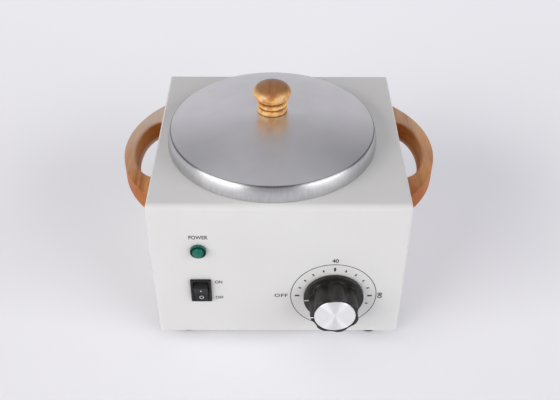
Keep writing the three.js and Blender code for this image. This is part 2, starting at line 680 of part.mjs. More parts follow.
// Points of the domed top from radius r0 to r1, dropped by an offset measured along the axis.
function dome(r0, r1, drop, steps) {
    const sphere = (LID_PLATE_R ** 2 + LID_DOME ** 2) / (2 * LID_DOME);
    const rise = r => LID_H + LID_DOME - sphere + Math.sqrt(sphere ** 2 - r ** 2);
    return Array.from({ length: steps + 1 }, (_, i) => {
        const r = r0 + (r1 - r0) * i / steps;
        return [r, rise(r) - drop];
    });
}

// Points down the bowed skirt, moved inwards by an offset.
function skirtBow(inwards) {
    const steps = 3;
    const [upper, lower] = SKIRT_BOW.map(THREE.MathUtils.degToRad);
    const centreR = LID_R - SKIRT_BOW_R * Math.cos(lower);
    const centreH = LID_H - 0.5 - SKIRT_BOW_R * Math.sin(upper);
    return Array.from({ length: steps + 1 }, (_, i) => {
        const slope = upper + (lower - upper) * i / steps;
        const reach = SKIRT_BOW_R - inwards;
        return [centreR + reach * Math.cos(slope), centreH + reach * Math.sin(slope)];
    });
}

const lidBore = 2.1;
lid.add(piece('lid', turned([
    ...dome(lidBore, LID_PLATE_R, 0, 4), ...skirtBow(0), [LID_R, GAP],
    [LID_R - METAL, GAP], ...skirtBow(METAL).reverse(), ...dome(LID_PLATE_R - 1, lidBore, METAL, 4),
], 40), aluminium));

const knobFoot = LID_H + LID_DOME + GAP;
const knobBore = 2;

// Two turned rings, a neck and a mushroom head whose side view is half an ellipse.
function lidKnob() {
    const rise = KNOB_H - KNOB_HEAD_H;
    const head = Array.from({ length: 9 }, (_, i) => {
        const angle = THREE.MathUtils.degToRad(-54 + 18 * i);
        return [KNOB_HEAD_R * Math.cos(angle), KNOB_HEAD_H + rise * Math.sin(angle)];
    });
    head[head.length - 1][0] = 0;
    const profile = [
        [knobBore, 0], [KNOB_BASE_R - 0.8, 0], [KNOB_BASE_R, 1], [KNOB_BASE_R, 3.4],
        [KNOB_BASE_R - 1, 4.3], [KNOB_BASE_R - 0.4, 5], [KNOB_BASE_R - 0.4, 6.6],
        [KNOB_BASE_R - 1.6, 7.6], ...head, [0, 12], [knobBore, 12],
    ];
    return turned(profile.map(([r, h]) => [r, h + knobFoot]), 24);
}
lid.add(piece('lid_knob', lidKnob(), wood));

const washerTop = knobFoot - GAP - METAL - GAP;
lid.add(piece('lid_washer', turned([
    [knobBore, washerTop - 1], [6, washerTop - 1], [6, washerTop], [knobBore, washerTop],
], 16), steel));
lid.add(at(piece('lid_knob_screw', screw(1.7, 12, 3.5, 2.2), steel), 0, 0, washerTop - 1 - GAP));

export default group;
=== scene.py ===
"""The looks of a tabletop wax bath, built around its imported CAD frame.

Shape functions take millimetres. Meshes, anchors and everything that comes from the frame are in
metres. A front piece is modelled with its own Z pointing out of the panel, towards -Y.
"""

import math

import bmesh
import bpy
from mathutils import Matrix, Vector


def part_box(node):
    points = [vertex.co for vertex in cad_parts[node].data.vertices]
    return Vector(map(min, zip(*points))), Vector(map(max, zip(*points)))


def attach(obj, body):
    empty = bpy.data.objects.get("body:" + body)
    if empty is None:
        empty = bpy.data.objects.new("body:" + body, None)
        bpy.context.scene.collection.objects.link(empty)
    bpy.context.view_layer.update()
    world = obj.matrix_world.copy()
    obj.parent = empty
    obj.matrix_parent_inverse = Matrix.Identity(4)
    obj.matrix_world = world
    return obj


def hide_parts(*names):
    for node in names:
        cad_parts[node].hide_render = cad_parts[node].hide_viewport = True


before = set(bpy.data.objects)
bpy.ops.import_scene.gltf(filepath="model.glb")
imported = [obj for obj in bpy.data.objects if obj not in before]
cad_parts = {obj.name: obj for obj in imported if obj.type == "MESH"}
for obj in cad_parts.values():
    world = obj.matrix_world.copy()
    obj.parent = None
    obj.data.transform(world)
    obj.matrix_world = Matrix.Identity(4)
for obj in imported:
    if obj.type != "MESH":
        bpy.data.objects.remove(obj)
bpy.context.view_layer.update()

MM = 0.001
UP = Matrix.Identity(4)
OUT_FRONT = Matrix.Rotation(math.radians(90), 4, "X")
OUT_BACK = Matrix.Rotation(math.radians(-90), 4, "X")
DOWN = Matrix.Rotation(math.radians(180), 4, "X")

shell_lo, shell_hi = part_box("housing_shell")
CABINET_W = shell_hi.x - shell_lo.x
CABINET_D = shell_hi.y - shell_lo.y
CABINET_MID = (shell_lo + shell_hi) / 2
PANEL_Z = shell_hi.z
FRONT_Y = shell_lo.y
BACK_Y = shell_hi.y


# ---------------------------------------------------------------- camera

LENS = 50.4
PITCH_DOWN = 39.224
YAW = -0.343
ROLL = 0.333


def make_camera():
    """Above and in front of the cabinet, pitched down, almost square to it."""
    data = bpy.data.cameras.new("camera")
    data.sensor_width = 36
    data.lens = LENS
    data.clip_start = 0.01
    data.clip_end = 20
    camera = bpy.data.objects.new("camera", data)
    bpy.context.scene.collection.objects.link(camera)
    foot_middle = Vector((CABINET_MID.x, CABINET_MID.y, shell_lo.z))
    camera.location = foot_middle + CABINET_W * Vector((-0.0105, -2.7002, 2.5243))
    turn = (Matrix.Rotation(math.radians(YAW), 4, "Z")
            @ Matrix.Rotation(math.radians(90 - PITCH_DOWN), 4, "X")
            @ Matrix.Rotation(math.radians(ROLL), 4, "Z"))
    camera.rotation_euler = turn.to_euler()
    bpy.context.scene.camera = camera


make_camera()


# ---------------------------------------------------------------- outlines and profiles

def rounded(points, closed=True, steps=5):
    """A flat outline with rounded corners. Points are (x, y) or (x, y, corner radius)."""
    out = []
    count = len(points)
    for i, point in enumerate(points):
        here = Vector(point[:2])
        radius = point[2] if len(point) > 2 else 0
        at_end = not closed and i in (0, count - 1)
        if radius <= 0 or at_end:
            out.append(tuple(here))
            continue
        before = (Vector(points[i - 1][:2]) - here).normalized()
        after = (Vector(points[(i + 1) % count][:2]) - here).normalized()
        half = before.angle(after) / 2
        centre = here + (before + after).normalized() * (radius / math.sin(half))
        start = here + before * (radius / math.tan(half)) - centre
        end = here + after * (radius / math.tan(half)) - centre
        sweep = start.angle(end)
        for k in range(steps + 1):
            a = math.sin(sweep * (1 - k / steps)) / math.sin(sweep)
            b = math.sin(sweep * k / steps) / math.sin(sweep)
            out.append(tuple(centre + start * a + end * b))
    return out


def rectangle(w, h, r, steps=5):
    """A rounded rectangle about the origin, anticlockwise."""
    out = []
    for sx, sy, start in ((1, 1, 0), (-1, 1, 90), (-1, -1, 180), (1, -1, 270)):
        for k in range(steps + 1):
            angle = math.radians(start + 90 * k / steps)
            out.append((sx * (w / 2 - r) + r * math.cos(angle), sy * (h / 2 - r) + r * math.sin(angle)))
    return out


def circle(x, y, r, sides=24):
    return [(x + r * math.cos(2 * math.pi * k / sides), y + r * math.sin(2 * math.pi * k / sides))
            for k in range(sides)]


# ---------------------------------------------------------------- mesh building

def object_from(bm, name, crease=38):
    """A smooth-shaded object from a bmesh in millimetres, sharp where faces meet above an angle."""
    bmesh.ops.recalc_face_normals(bm, faces=bm.faces)
    bmesh.ops.scale(bm, vec=(MM, MM, MM), verts=bm.verts)
    mesh = bpy.data.meshes.new(name)
    bm.to_mesh(mesh)
    bm.free()
    mesh.shade_smooth()
    mesh.set_sharp_from_angle(angle=math.radians(crease))
    made = bpy.data.objects.new(name, mesh)
    bpy.context.scene.collection.objects.link(made)
    return made


def skin(bm, rings, close=False):
    """Faces between rings of vertices. A ring of one vertex is a tip."""
    pairs = list(zip(rings, rings[1:]))
    if close:
        pairs.append((rings[-1], rings[0]))
    for a, b in pairs:
        sides = max(len(a), len(b))
        if sides == 1:
            continue
        for i in range(sides):
            j = (i + 1) % sides
            corners = [a[i % len(a)], a[j % len(a)], b[j % len(b)], b[i % len(b)]]
            bm.faces.new(list(dict.fromkeys(corners)))


def lathe(name, profile, sides=96, flute=None, bm=None):
    """A closed turned body about Z. Profile points are (radius, height), with a third value for the
    share of the flute's depth that the radius loses there."""
    own = bm is None
    bm = bm or bmesh.new()
    rings = []
    for point in profile:
        r, z = point[:2]
        share = point[2] if len(point) > 2 else 0
        if r < 1e-6:
            rings.append([bm.verts.new((0, 0, z))])
            continue
        ring = []
        for k in range(sides):
            angle = 2 * math.pi * k / sides
            reach = r - (share * flute(angle) if share else 0)
            ring.append(bm.verts.new((reach * math.cos(angle), reach * math.sin(angle), z)))
        rings.append(ring)
    skin(bm, rings, close=True)
    return object_from(bm, name) if own else None


def stack(name, levels, steps=5, bm=None):
    """A closed skin over rounded rectangles (w, h, corner radius, z), capped at both ends."""
    own = bm is None
    bm = bm or bmesh.new()
    rings = [[bm.verts.new((x, y, z)) for x, y in rectangle(w, h, r, steps)] for w, h, r, z in levels]
    skin(bm, rings)
    bm.faces.new(rings[0])
    bm.faces.new(rings[-1])
    return object_from(bm, name) if own else None


def box(bm, x, y, z):
    """A box from its limits along each axis, added to a mesh in the making."""
    middle = Vector(((x[0] + x[1]) / 2, (y[0] + y[1]) / 2, (z[0] + z[1]) / 2))
    size = Matrix.Diagonal((x[1] - x[0], y[1] - y[0], z[1] - z[0], 1))
    bmesh.ops.create_cube(bm, size=1, matrix=Matrix.Translation(middle) @ size)


def evaluated_mesh(holder):
    graph = bpy.context.evaluated_depsgraph_get()
    return bpy.data.meshes.new_from_object(holder.evaluated_get(graph))


def discard(holder):
    data = holder.data
    bpy.data.objects.remove(holder)
    if isinstance(data, bpy.types.Mesh):
        bpy.data.meshes.remove(data)
    else:
        bpy.data.curves.remove(data)


def plate(name, outlines, z0, z1, edge):
    """A flat plate with rounded rims: the first outline is its edge, the others are holes."""
    curve = bpy.data.curves.new(name, "CURVE")
    curve.dimensions = "2D"
    curve.fill_mode = "BOTH"
    curve.extrude = ((z1 - z0) / 2 - edge) * MM
    curve.bevel_depth = edge * MM
    curve.bevel_resolution = 3
    curve.offset = -edge * MM
    for outline in outlines:
        spline = curve.splines.new("POLY")
        spline.points.add(len(outline) - 1)
        for point, (x, y) in zip(spline.points, outline):
            point.co = (x * MM, y * MM, 0, 1)
        spline.use_cyclic_u = True
    holder = bpy.data.objects.new(name, curve)
    bpy.context.scene.collection.objects.link(holder)
    bm = bmesh.new()
    bm.from_mesh(evaluated_mesh(holder))
    discard(holder)
    bmesh.ops.remove_doubles(bm, verts=bm.verts, dist=1e-7)
    bmesh.ops.translate(bm, vec=(0, 0, (z0 + z1) / 2 * MM), verts=bm.verts)
    bmesh.ops.scale(bm, vec=(1 / MM,) * 3, verts=bm.verts)
    return object_from(bm, name)


def carve(target, *cutters):
    """Cuts the cutters away from the target and removes them."""
    for cutter in cutters:
        step = target.modifiers.new("cut", "BOOLEAN")
        step.solver = "EXACT"
        step.object = cutter
    mesh = evaluated_mesh(target)
    target.modifiers.clear()
    old = target.data
    target.data = mesh
    bpy.data.meshes.remove(old)
    for cutter in cutters:
        discard(cutter)
    mesh.shade_smooth()
    mesh.set_sharp_from_angle(angle=math.radians(38))
    return target


def install(made, body, look, anchor, facing=UP, replaces=()):
    """Puts a piece where it belongs, gives it its material and lets it ride on its body."""
    made.matrix_world = Matrix.Translation(anchor) @ facing
    made.data.materials.clear()
    made.data.materials.append(look)
    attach(made, body)
    if replaces:
        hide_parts(*replaces)
    return made


def middle_of(node):
    lo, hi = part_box(node)
    return (lo + hi) / 2


# ---------------------------------------------------------------- materials

class Look:
    """A Principled material, built node by node. Patterns use the object's own coordinates."""

    def __init__(self, name, **sockets):
        self.material = bpy.data.materials.new(name)
        self.material.use_nodes = True
        self.tree = self.material.node_tree
        self.shader = self.tree.nodes["Principled BSDF"]
        self.coordinates = self.tree.nodes.new("ShaderNodeTexCoord").outputs["Object"]
        for socket, value in sockets.items():
            self.feed(self.shader.inputs[socket.replace("_", " ")], value)

    def feed(self, socket, value):
        if isinstance(value, bpy.types.NodeSocket):
            self.tree.links.new(value, socket)
        elif isinstance(value, tuple) and len(value) == 3 and socket.type == "RGBA":
            socket.default_value = (*value, 1)
        else:
            socket.default_value = value

    def node(self, kind, inputs=(), **settings):
        made = self.tree.nodes.new("ShaderNode" + kind)
        for key, value in settings.items():
            setattr(made, key, value)
        for key, value in dict(inputs).items():
            self.feed(made.inputs[key], value)
        return made

    def stretched(self, x, y, z):
        """The object's coordinates, scaled along each axis."""
        return self.node("Mapping", {"Vector": self.coordinates, "Scale": (x, y, z)}).outputs[0]

    def noise(self, scale, detail=2.0, vector=None, distortion=0.0, roughness=0.5):
        inputs = {"Vector": vector or self.coordinates, "Scale": scale, "Detail": detail,
                  "Distortion": distortion, "Roughness": roughness}
        return self.node("TexNoise", inputs).outputs["Fac"]

    def spread(self, value, low, high, start=0.3, end=0.7):
        """Carries a pattern's usual span to the range from low to high."""
        inputs = {"Value": value, "From Min": start, "From Max": end, "To Min": low, "To Max": high}
        return self.node("MapRange", inputs).outputs[0]

    def band(self, value, middle, half):
        """One at the middle of a span, falling to nothing at its ends."""
        away = self.maths("ABSOLUTE", self.maths("SUBTRACT", value, middle))
        return self.spread(away, 1.0, 0.0, half * 0.4, half)

    def maths(self, operation, a, b=0.0):
        return self.node("Math", {0: a, 1: b}, operation=operation).outputs[0]

    def radius(self):
        """The distance from the object's Z axis."""
        flat = self.node("VectorMath", {0: self.coordinates, 1: (1, 1, 0)}, operation="MULTIPLY").outputs[0]
        return self.node("VectorMath", {0: flat}, operation="LENGTH").outputs["Value"]

    def spin(self):
        """Lines the anisotropy up with circles about the object's Z axis."""
        around = self.node("Tangent", direction_type="RADIAL", axis="Z")
        self.feed(self.shader.inputs["Tangent"], around.outputs[0])

    def ramp(self, value, *stops):
        made = self.node("ValToRGB", {"Fac": value})
        elements = made.color_ramp.elements
        while len(elements) < len(stops):
            elements.new(0.5)
        for element, (position, colour) in zip(elements, stops):
            element.position = position
            element.color = (*colour, 1)
        return made.outputs["Color"]

    def blend(self, share, a, b):
        made = self.node("Mix", data_type="RGBA")
        self.feed(made.inputs["Factor"], share)
        self.feed(made.inputs[6], a)
        self.feed(made.inputs[7], b)
        return made.outputs[2]

    def bump(self, height, depth_mm, strength=1.0):
        inputs = {"Height": height, "Distance": depth_mm * MM, "Strength": strength}
        previous = self.shader.inputs["Normal"]
        if previous.is_linked:
            inputs["Normal"] = previous.links[0].from_socket
        self.feed(previous, self.node("Bump", inputs).outputs[0])
        return self

    def colour(self, value):
        self.feed(self.shader.inputs["Base Color"], value)
        return self

    def rough(self, value):
        self.feed(self.shader.inputs["Roughness"], value)
        return self


def powder_coat():
    """White satin powder coat: soft orange peel, a trace of unevenness in tone."""
    look = Look("powder_coat", IOR=1.5)
    tone = look.noise(14, 3)
    speck = look.noise(2600, 1)
    base = look.ramp(tone, (0.3, (0.640, 0.632, 0.622)), (0.7, (0.668, 0.662, 0.655)))
    look.colour(look.blend(look.spread(speck, 0, 0.06), base, (0.45, 0.45, 0.46)))
    look.rough(look.spread(look.noise(420, 3), 0.40, 0.50))
    look.bump(look.noise(700, 2), 0.02, 0.35)
    return look.material


def matte_aluminium(name, base, rough, grain=0.012, crease=(0.0738, 0.0750)):
    """Aluminium with a fine blasted grain and slow changes of tone. It was spun about its own Z
    axis, so it shines along its radii. Painted shade darkens the crease where the skirt turns down,
    and painted shade makes the skirt darker, with faint upright marks from drawing."""
    look = Look(name, Metallic=1.0, Anisotropic=0.55, Anisotropic_Rotation=0.25)
    look.spin()
    dark = tuple(c * 0.94 for c in base)
    base = look.ramp(look.noise(55, 4), (0.3, dark), (0.7, base))
    inner, outer = crease
    middle, half = (inner + outer) / 2, (outer - inner) / 2
    # painted shade: a dark band along the crease where the skirt turns down
    away = look.maths("ABSOLUTE", look.maths("SUBTRACT", look.radius(), middle))
    painted_crease_shade = look.spread(away, 0.75, 0.0, half * 0.5, half)
    # painted shade: the skirt is darker than the top, with real upright drawing marks in it
    marks = look.noise(700, 3, look.stretched(1.0, 1.0, 0.15))
    skirt = look.ramp(marks, (0.3, (0.52, 0.52, 0.53)), (0.7, (0.60, 0.60, 0.61)))
    base = look.blend(look.spread(look.radius(), 0, 1, middle, outer), base, skirt)
    look.colour(look.blend(painted_crease_shade, base, (0.12, 0.12, 0.125)))
    look.rough(look.spread(look.noise(900, 3), rough - 0.03, rough + 0.05))
    look.bump(look.noise(2400, 2), grain, 0.5)
    return look.material


def spun_aluminium(name, base, rough, rings=1400):
    """Aluminium with the fine circular lines that spinning leaves about its own Z axis."""
    look = Look(name, Metallic=1.0, Anisotropic=0.45)
    look.spin()
    height = look.node("SeparateXYZ", {0: look.coordinates}).outputs[2]
    along = look.node("CombineXYZ", {0: look.radius(), 1: height}).outputs[0]
    lines = look.noise(rings, 2, along)
    look.colour(look.ramp(look.noise(40, 3), (0.3, tuple(c * 0.92 for c in base)), (0.7, base)))
    look.rough(look.spread(lines, rough - 0.05, rough + 0.06))
    look.bump(lines, 0.01, 0.5)
    return look.material


def disc_aluminium():
    """The knob's disc: strongly anisotropic, so that wedges of light meet at its centre."""
    look = Look("disc_aluminium", Metallic=1.0, Anisotropic=0.95, Anisotropic_Rotation=0.25)
    look.spin()
    lines = look.noise(2600, 1, look.node("CombineXYZ", {0: look.radius()}).outputs[0])
    look.colour(look.ramp(lines, (0.3, (0.93, 0.93, 0.93)), (0.7, (0.98, 0.98, 0.98))))
    look.rough(look.spread(lines, 0.30, 0.36))
    look.bump(lines, 0.004, 0.4)
    return look.material


def wood(name, light, mid, dark, lacquer, gloss):
    """Warm golden-brown hardwood with its grain along Y, under a clear lacquer."""
    look = Look(name, Coat_Weight=lacquer, Coat_Roughness=gloss, Coat_IOR=1.5)
    broad = look.noise(95, 4, look.stretched(1.0, 0.13, 0.8), distortion=0.8)
    lines = look.noise(420, 3, look.stretched(1.0, 0.035, 1.0), distortion=0.3)
    pores = look.noise(2200, 1, look.stretched(1.0, 0.05, 1.0))
    figure = look.maths("ADD", look.maths("MULTIPLY", broad, 0.6), look.maths("MULTIPLY", lines, 0.4))
    base = look.ramp(figure, (0.40, dark), (0.5, mid), (0.61, light))
    look.rough(look.spread(lines, 0.38, 0.52))
    look.bump(pores, 0.02, 0.3)
    look.bump(lines, 0.03, 0.3)
    return look, look.blend(look.spread(pores, 0.0, 0.55, 0.58, 0.70), base, dark)


def handle_wood():
    """Painted shade makes the edges a deeper brown, deepest where they face -Y. A pale painted sheen
    covers the upper faces towards +Y, most on the -X side. Painted shade makes the -Y end on the +X side the
    reddest."""
    look, base = wood("handle_wood", (0.64, 0.270, 0.070), (0.54, 0.200, 0.043),
                      (0.36, 0.112, 0.018), 0.05, 0.36)
    look.shader.inputs["Specular IOR Level"].default_value = 0.12
    normal = look.node("SeparateXYZ", {0: look.node("TexCoord").outputs["Normal"]}).outputs
    parts = look.node("SeparateXYZ", {0: look.coordinates}).outputs
    upper = look.spread(normal[2], 0, 1, 0.25, 0.9)
    # painted shade: faces that do not point up are blended towards a deeper brown
    deep = look.blend(0.55, base, (0.37, 0.108, 0.016))
    base = look.blend(upper, deep, base)
    # painted sheen: pale on the upper faces, growing towards +Y and strongest on the -X side
    cloud = look.spread(look.noise(60, 3), -0.012, 0.012)
    along = look.spread(look.maths("ADD", parts[1], cloud), 0, 1, -0.055, 0.045)
    side = look.spread(parts[0], 0.80, 0.38, -0.001, 0.001)
    painted_sheen = look.maths("MULTIPLY", look.maths("MULTIPLY", along, side), upper)
    # painted shade: the -Y end on the +X side is darkened to a deep red-brown
    near = look.spread(parts[1], 0.75, 0.0, -0.060, -0.030)
    painted_end_shade = look.maths("MULTIPLY", near, look.spread(parts[0], 0.0, 1.0, -0.001, 0.001))
    base = look.blend(painted_end_shade, base, (0.30, 0.070, 0.008))
    # painted shade: faces that point towards -Y are darkest
    base = look.blend(look.spread(normal[1], 0.6, 0.0, -0.8, -0.2), base, (0.30, 0.075, 0.008))
    look.colour(look.blend(painted_sheen, base, (0.71, 0.61, 0.53)))
    return look.material


def knob_wood():
    """Painted shade darkens the crown and the grooves between the rings."""
    look, base = wood("knob_wood", (0.86, 0.540, 0.225), (0.76, 0.420, 0.140),
                      (0.50, 0.205, 0.048), 0.42, 0.14)
    height = look.node("SeparateXYZ", {0: look.coordinates}).outputs[2]
    # painted shade: darker towards the crown
    cloud = look.spread(look.noise(90, 3), -0.0006, 0.0006)
    crown = look.spread(look.maths("ADD", height, cloud), 0.0, 0.85, 0.0152, 0.0192)
    base = look.blend(crown, base, (0.205, 0.070, 0.016))
    # painted shade in the grooves between the rings
    for groove in (0.0041, 0.0078):
        painted_groove_shade = look.maths("MULTIPLY", look.band(height, groove, 0.0008), 0.85)
        base = look.blend(painted_groove_shade, base, (0.10, 0.022, 0.004))
    look.colour(base)
    return look.material


def plastic(name, base, rough, texture=0.015, coat=0.0, shine=0.5):
    """Moulded plastic: fine texture, uneven gloss, a little dust tone."""
    look = Look(name, IOR=1.5, Specular_IOR_Level=shine, Coat_Weight=coat, Coat_Roughness=0.12)
    lighter = tuple(c * 1.25 + 0.004 for c in base)
    look.colour(look.ramp(look.noise(180, 4), (0.35, base), (0.7, lighter)))
    look.rough(look.spread(look.noise(260, 3), rough - 0.04, rough + 0.06))
    look.bump(look.noise(1800, 2), texture, 0.4)
    return look.material


def jewel():
    """Deep green plastic, brighter in its middle: painted shade darkens it towards its rim."""
    look = Look("jewel_green", IOR=1.49, Specular_IOR_Level=0.3)
    cloud = look.noise(420, 2)
    base = look.ramp(cloud, (0.3, (0.002, 0.115, 0.082)), (0.7, (0.003, 0.185, 0.130)))
    # painted shade: darker towards the rim of the lens
    look.colour(look.blend(look.spread(look.radius(), 0.0, 0.5, 0.0005, 0.0040), base, (0.001, 0.070, 0.050)))
    look.rough(look.spread(cloud, 0.14, 0.24))
    facets = look.node("TexVoronoi", {"Vector": look.coordinates, "Scale": 620.0}).outputs["Distance"]
    look.bump(facets, 0.7, 0.8)
    return look.material


def metal(name, base, rough, scratch=0.01):
    """Plated or drawn metal with faint handling marks."""
    look = Look(name, Metallic=1.0)
    marks = look.noise(700, 4, look.stretched(1.0, 0.25, 1.0))
    look.colour(look.ramp(look.noise(140, 3), (0.3, tuple(c * 0.85 for c in base)), (0.7, base)))
    look.rough(look.spread(marks, rough - 0.06, rough + 0.1))
    look.bump(marks, scratch, 0.4)
    return look.material


def ink(name, base):
    """Screen-printed ink with slightly uneven cover."""
    look = Look(name)
    look.colour(look.ramp(look.noise(1500, 3), (0.3, base), (0.75, tuple(c * 1.3 + 0.02 for c in base))))
    look.rough(look.spread(look.noise(900, 2), 0.45, 0.6))
    return look.material


def sleeve(name, base, stripe=None):
    """A wire's silicone sleeve, with a second colour in bands where the wire has one."""
    look = Look(name, IOR=1.42)
    tone = look.ramp(look.noise(300, 3), (0.3, tuple(c * 0.8 for c in base)), (0.7, base))
    if stripe:
        bands = look.noise(160, 0)
        tone = look.blend(look.spread(bands, 0, 1, 0.49, 0.51), tone, stripe)
    look.colour(tone)
    look.rough(look.spread(look.noise(800, 2), 0.45, 0.6))
    look.bump(look.noise(1500, 2), 0.02, 0.3)
    return look.material


LOOKS = {
    "cabinet_paint": powder_coat(),
    "rubber": plastic("rubber", (0.018, 0.018, 0.020), 0.75, 0.04),
    "zinc_steel": metal("zinc_steel", (0.62, 0.62, 0.64), 0.32),
    "handle_wood": handle_wood(),
    "knob_wood": knob_wood(),
    "well_aluminium": spun_aluminium("well_aluminium", (0.74, 0.75, 0.76), 0.36),
    "pot_aluminium": spun_aluminium("pot_aluminium", (0.80, 0.80, 0.82), 0.30),
    "lid_aluminium": matte_aluminium("lid_aluminium", (0.80, 0.80, 0.815), 0.34),
    "mica_band": metal("mica_band", (0.42, 0.39, 0.35), 0.45),
    "copper_tube": metal("copper_tube", (0.70, 0.38, 0.24), 0.30),
    "black_matte": plastic("black_matte", (0.009, 0.009, 0.010), 0.50, 0.02, shine=0.3),
    "black_gloss": plastic("black_gloss", (0.011, 0.010, 0.009), 0.34, 0.01, shine=0.42),
    "cap_aluminium": disc_aluminium(),
    "green_jewel": jewel(),
    "brass": metal("brass", (0.70, 0.52, 0.24), 0.30),
    "ceramic": plastic("ceramic", (0.72, 0.69, 0.60), 0.25, 0.01, coat=0.4),
    "wire_brown": sleeve("wire_brown", (0.20, 0.085, 0.035)),
    "wire_blue": sleeve("wire_blue", (0.05, 0.14, 0.48)),
    "wire_earth": sleeve("wire_earth", (0.10, 0.32, 0.05), stripe=(0.65, 0.58, 0.05)),
}
DARK_INK = ink("dark_ink", (0.018, 0.018, 0.020))
WHITE_INK = ink("white_ink", (0.66, 0.66, 0.65))


# ---------------------------------------------------------------- cabinet

SHEET = 1.2
BEND = 4.5
SIDE_BEND = 2.0
CORNER = 2.0
LIP_W = 12
LIP_L = 140
LIP_Z = 1.5
WALL_H = (PANEL_Z - shell_lo.z) / MM
WIDTH = CABINET_W / MM
DEPTH = CABINET_D / MM


def bend_levels(inset, top):
    """Rounded rectangles that climb round the bend along the top edges, tighter at the sides."""
    radius = BEND - inset
    side_radius = SIDE_BEND - inset
    corner = CORNER - inset
    levels = []
    for k in range(7):
        angle = math.radians(15 * k)
        back = inset + radius * (1 - math.cos(angle))
        side = inset + side_radius * (1 - math.cos(angle))
        levels.append((WIDTH - 2 * side, DEPTH - 2 * back, max(corner - (back - inset) * 0.5, 0.2),
                       top - radius + radius * math.sin(angle)))
    return levels


def cutter(profile_or_levels, place, facing=UP, round_hole=True):
    """A tool for carve(): a turned body or a rounded-rectangle stack, in the shell's own frame."""
    make = lathe if round_hole else stack
    tool = make("tool", profile_or_levels)
    tool.matrix_world = Matrix.Translation(place) @ facing
    return tool


def hole(radius, place, facing=UP, reach=8):
    return cutter([(0, -reach), (radius, -reach), (radius, reach), (0, reach)], place, facing)


def build_shell():
    outer = bend_levels(0, WALL_H)
    inner = bend_levels(SHEET, WALL_H - SHEET)
    bottom_outer = (WIDTH, DEPTH, CORNER, 0)
    bottom_inner = (WIDTH - 2 * SHEET, DEPTH - 2 * SHEET, CORNER - SHEET, 0)
    shell = stack("cabinet_shell", [*reversed(inner), bottom_inner, bottom_outer, *outer], steps=8)
    origin = Vector((CABINET_MID.x, CABINET_MID.y, shell_lo.z))

    def on_shell(node, **fixed):
        place = middle_of(node) - origin
        for axis, value in fixed.items():
            setattr(place, axis, value)
        return place

    front = FRONT_Y - origin.y
    back = BACK_Y - origin.y
    tools = [
        hole(61.8, on_shell("heating_well", z=WALL_H * MM), reach=6),
        hole(5.1, on_shell("thermostat_shaft", y=front), OUT_FRONT),
        hole(5.1, on_shell("pilot_lamp_lens", y=front), OUT_FRONT),
        cutter([(13.4, 19.6, 0.6, -8), (13.4, 19.6, 0.6, 8)], on_shell("switch_housing", y=front),
               OUT_FRONT, round_hole=False),
        cutter([(28.2, 20.4, 1, -8), (28.2, 20.4, 1, 8)], on_shell("inlet_socket", y=back),
               OUT_BACK, round_hole=False),
    ]
    carve(shell, *tools)
    install(shell, "cabinet", LOOKS["cabinet_paint"], origin, replaces=["housing_shell"])

    for side in ("left", "right"):
        sign = -1 if side == "left" else 1
        screws = [(middle_of(f"base_screw_{end}_{side}") - origin) / MM for end in ("front", "back")]
        middle = sign * (WIDTH / 2 - SHEET - LIP_W / 2)
        outline = rectangle(LIP_W + SHEET, LIP_L, 1.5)
        holes = [circle(place.x - middle, place.y, 1.9, 20)[::-1] for place in screws]
        lip = plate(f"shell_lip_{side}", [outline, *holes], 0, SHEET, 0.2)
        anchor = origin + Vector((middle, 0, LIP_Z)) * MM
        install(lip, "cabinet", LOOKS["cabinet_paint"], anchor)


build_shell()


def build_base():
    lo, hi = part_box("base_plate")
    middle = (lo + hi) / 2
    outlines = [rectangle((hi.x - lo.x) / MM, (hi.y - lo.y) / MM, 2, 6)]
    for corner in ("front_left", "front_right", "back_left", "back_right"):
        for node, radius in ((f"foot_screw_{corner}", 2.3), (f"base_screw_{corner}", 1.9)):
            place = (middle_of(node) - middle) / MM
            outlines.append(circle(place.x, place.y, radius, 20)[::-1])
    for side in (-1, 1):
        for i in range(4):
            slot = [(x + side * 58, y + (i - 1.5) * 16) for x, y in rectangle(33, 5, 2.49, 8)]
            outlines.append(slot[::-1])
    base = plate("base_panel", outlines, 0, (hi.z - lo.z) / MM, 0.25)
    anchor = Vector((middle.x, middle.y, lo.z))
    install(base, "cabinet", LOOKS["cabinet_paint"], anchor, replaces=["base_plate"])


build_base()


def build_screw(name, node, body, head_r, head_h, shank_r, length, facing, anchor, slot="zinc_steel"):
    """A pan-head screw with a cross recess. Its head stands on Z = 0 and its shank goes below."""
    profile = rounded([(0, head_h), (head_r * 0.72, head_h, head_h * 0.5), (head_r, head_h * 0.35, 0.3),
                       (head_r, 0), (shank_r, 0), (shank_r, -length, 0.4), (0, -length)], closed=False)
    made = lathe(name, profile, 40)
    cross = bmesh.new()
    arm, width = head_r * 0.56, head_r * 0.15
    box(cross, (-arm, arm), (-width, width), (head_h * 0.25, head_h + 1))
    first = object_from(cross, "tool")
    cross = bmesh.new()
    box(cross, (-width, width), (-arm, arm), (head_h * 0.25, head_h + 1))
    carve(made, first, object_from(cross, "tool"))
    install(made, body, LOOKS[slot], anchor, facing, replaces=[node])


